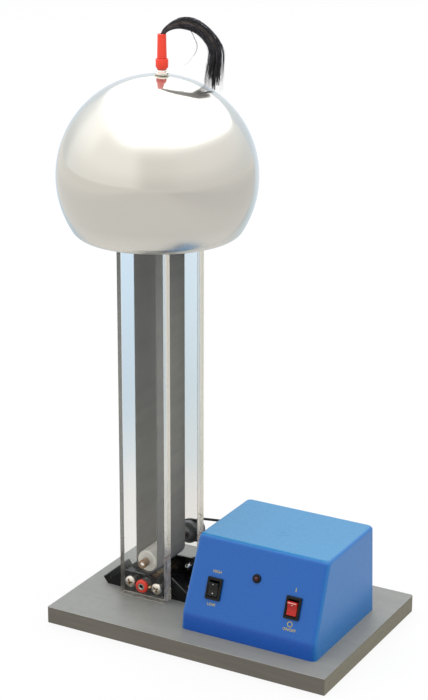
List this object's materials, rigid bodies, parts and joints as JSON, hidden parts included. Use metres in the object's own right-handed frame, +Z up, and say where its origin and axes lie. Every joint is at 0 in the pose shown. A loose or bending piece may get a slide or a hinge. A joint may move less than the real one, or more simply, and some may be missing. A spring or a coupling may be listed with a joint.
{
  "type": "van de graaff generator",
  "caption": "Bench-top belt electrostatic generator: polished dome on clear column plates, rubber belt, motor housing with rocker switches, on a board.",
  "frame": {"origin": "middle of the underside of the board, on the surface that the part stands on", "axes": "+Z up along the column, -Y towards the side with the control panel, +X from the column towards the housing"},
  "size_m": [0.3258, 0.2, 0.5813],
  "materials": {
    "board_laminate": "grey laminate over a fibre board, satin, dark edge band",
    "housing_plastic": "moulded blue, semi-gloss",
    "clear_acrylic": "clear, polished faces",
    "mirror_metal": "mirror polished",
    "nickel": "nickel plated",
    "steel": "turned",
    "aluminium": "turned or milled",
    "brass": "turned",
    "black_paint": "gloss black",
    "white_nylon": "turned nylon",
    "grey_plastic": "turned",
    "black_plastic": "moulded, satin",
    "belt_rubber": "matt grey sheet rubber",
    "drive_belt_rubber": "matt black",
    "red_plastic": "moulded, satin",
    "red_key": "translucent red",
    "dark_lens": "tinted red",
    "hair": "fine dark strands",
    "circuit_board": "green board with parts",
    "motor_can": "metal can"
  },
  "bodies": {
    "base": {"baseboard": "board_laminate", "housing_shell": "housing_plastic", "front_column_plate": "clear_acrylic", "rear_column_plate": "clear_acrylic", "base_bracket": "black_paint", "lower_front_bush": "brass", "lower_rear_bush": "brass", "upper_front_bush": "brass", "upper_rear_bush": "brass", "front_plate_screw_left": "nickel", "front_plate_screw_right": "nickel", "rear_plate_screw_left": "nickel", "rear_plate_screw_right": "nickel", "front_flange_nut_left": "nickel", "front_flange_nut_right": "nickel", "rear_flange_nut_left": "nickel", "rear_flange_nut_right": "nickel", "bracket_screw_left": "brass", "bracket_screw_right": "brass", "earth_socket_ring": "red_plastic", "earth_socket_contact": "nickel", "lower_comb": "brass", "top_bridge": "aluminium", "top_screw_front": "steel", "top_screw_rear": "steel", "dome_seat": "aluminium", "upper_comb": "brass", "charging_belt": "belt_rubber", "drive_belt": "drive_belt_rubber", "motor_body": "motor_can", "motor_bracket": "steel", "control_board": "circuit_board", "board_spacer_left": "white_nylon", "board_spacer_right": "white_nylon", "mains_inlet": "black_plastic", "inlet_pin_left": "nickel", "inlet_pin_right": "nickel", "inlet_pin_earth": "nickel", "indicator_bezel": "black_plastic", "indicator_lens": "dark_lens", "speed_rocker_bezel": "black_plastic", "power_rocker_bezel": "black_plastic", "housing_screw_front_left": "steel", "housing_screw_rear_right": "steel"},
    "lower_roller": {"lower_roller_drum": "white_nylon", "lower_roller_shaft": "steel", "driven_pulley": "black_plastic"},
    "upper_roller": {"upper_roller_drum": "grey_plastic", "upper_roller_shaft": "steel"},
    "motor_rotor": {"motor_shaft": "steel", "motor_pulley": "brass"},
    "dome": {"dome_shell": "mirror_metal", "dome_socket": "nickel", "dome_socket_nut": "nickel"},
    "plume": {"plug_pin": "nickel", "plug_body": "red_plastic", "plug_sleeve": "red_plastic", "hair_plume": "hair"},
    "speed_key": {"speed_rocker": "black_plastic"},
    "power_key": {"power_rocker": "red_key"}
  },
  "joints": [
    {"name": "lower_roller_spin", "type": "hinge", "parent": "base", "child": "lower_roller", "pos_m": [-0.0787, -0.0003, 0.0534], "axis": [0, 1, 0], "continuous": true},
    {"name": "upper_roller_spin", "type": "hinge", "parent": "base", "child": "upper_roller", "pos_m": [-0.0787, -0.0003, 0.449], "axis": [0, 1, 0], "continuous": true},
    {"name": "motor_spin", "type": "hinge", "parent": "base", "child": "motor_rotor", "pos_m": [0.0657, -0.0003, 0.0757], "axis": [0, 1, 0], "continuous": true},
    {"name": "dome_lift", "type": "slide", "parent": "base", "child": "dome", "axis": [0, 0, 1], "range_m": [0, 0.15]},
    {"name": "plug_pull", "type": "slide", "parent": "dome", "child": "plume", "axis": [0, 0, 1], "range_m": [0, 0.022]},
    {"name": "speed_rocker_tilt", "type": "hinge", "parent": "base", "child": "speed_key", "pos_m": [0.01645, -0.06318, 0.05994], "axis": [-1, 0, 0], "range_deg": [0, 20]},
    {"name": "power_rocker_tilt", "type": "hinge", "parent": "base", "child": "power_key", "pos_m": [0.09955, -0.06318, 0.05994], "axis": [-1, 0, 0], "range_deg": [0, 20]}
  ],
  "couplings": [
    {"joint": "upper_roller_spin", "follows": "lower_roller_spin", "ratio": 1},
    {"joint": "motor_spin", "follows": "lower_roller_spin", "ratio": 2.1731}
  ]
}
